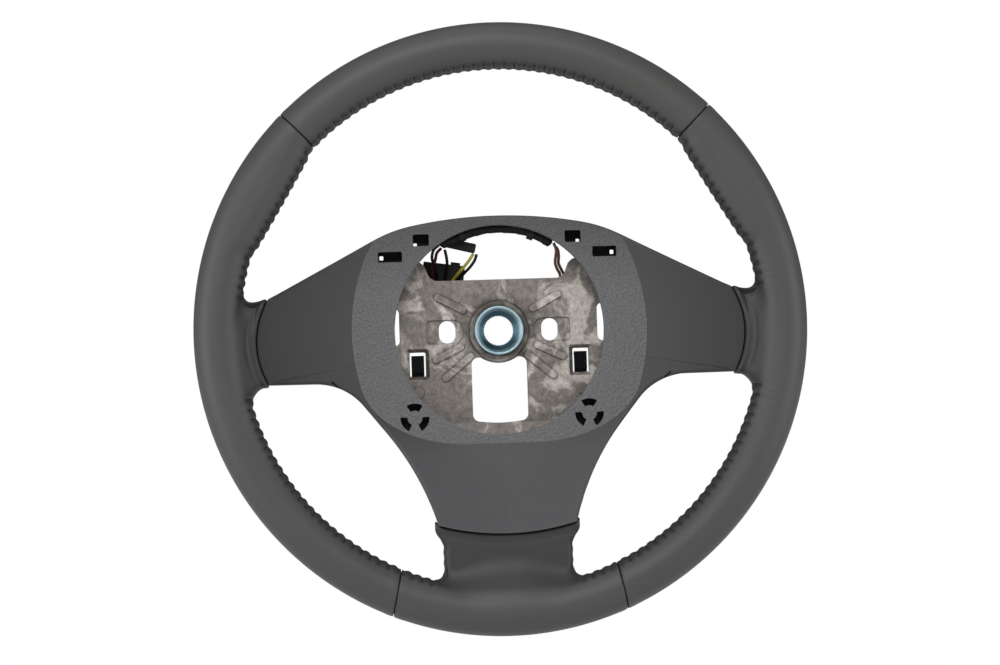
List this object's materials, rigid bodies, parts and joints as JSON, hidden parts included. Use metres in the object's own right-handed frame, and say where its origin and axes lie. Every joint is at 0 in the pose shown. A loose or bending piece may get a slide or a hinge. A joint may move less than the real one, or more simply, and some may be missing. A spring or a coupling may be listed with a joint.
{
  "type": "car steering wheel",
  "caption": "Steering wheel with a stitched leather rim, grained spoke cover, bare cast armature with hub, and wiring, shown without its airbag.",
  "frame": {"origin": "centre of the hub's bore, in the plane of the armature plate's back skin", "axes": "-Y towards the driver along the column's axis, +Z to twelve o'clock, +X to the driver's right"},
  "size_m": [0.375, 0.0842, 0.375],
  "materials": {
    "leather": "satin",
    "foam": "matte",
    "cast_magnesium": "as cast",
    "zinc_steel": "zinc plated, bluish",
    "cover_plastic": "grained round the opening, smooth on the spokes",
    "back_plastic": "matte",
    "screw_steel": "zinc plated",
    "spring_steel": "black phosphate",
    "tape": "wound tape",
    "connector_plastic": "satin",
    "wire_black": "satin",
    "wire_red": "satin",
    "wire_yellow": "satin",
    "wire_brown": "satin"
  },
  "bodies": {
    "wheel": {"armature": "cast_magnesium", "armature_ring": "cast_magnesium", "hub_insert": "zinc_steel", "rim_foam": "foam", "leather_top": "leather", "leather_bottom": "leather", "front_cover": "cover_plastic", "spoke_back_lower": "back_plastic", "spoke_screw_lower": "screw_steel", "leather_right": "leather", "leather_left": "leather", "spoke_back_right": "back_plastic", "spoke_back_left": "back_plastic", "spoke_screw_right": "screw_steel", "spoke_screw_left": "screw_steel", "cover_screw_right": "screw_steel", "cover_screw_left": "screw_steel", "latch_seat_right": "spring_steel", "latch_seat_left": "spring_steel", "latch_rivet_right": "spring_steel", "latch_rivet_left": "spring_steel", "trunk_clip_right": "connector_plastic", "trunk_clip_left": "connector_plastic", "trunk": "tape", "taped_plug": "tape", "connector_block": "connector_plastic", "side_plug": "connector_plastic", "wire_black_a": "wire_black", "wire_red": "wire_red", "wire_black_b": "wire_black", "wire_yellow": "wire_yellow", "wire_black_c": "wire_black", "wire_brown_a": "wire_brown", "wire_brown_b": "wire_brown"},
    "latch_tongue_body_right": {"latch_tongue_right": "spring_steel"},
    "latch_tongue_body_left": {"latch_tongue_left": "spring_steel"}
  },
  "joints": [
    {"name": "latch_bend_right", "type": "hinge", "parent": "wheel", "child": "latch_tongue_body_right", "pos_m": [0.0514, 0.0009, -0.0312], "axis": [-1, 0, 0], "range_deg": [0, 12], "stiffness_Nm_per_rad": 0.2},
    {"name": "latch_bend_left", "type": "hinge", "parent": "wheel", "child": "latch_tongue_body_left", "pos_m": [-0.0514, 0.0009, -0.0312], "axis": [-1, 0, 0], "range_deg": [0, 12], "stiffness_Nm_per_rad": 0.2}
  ]
}
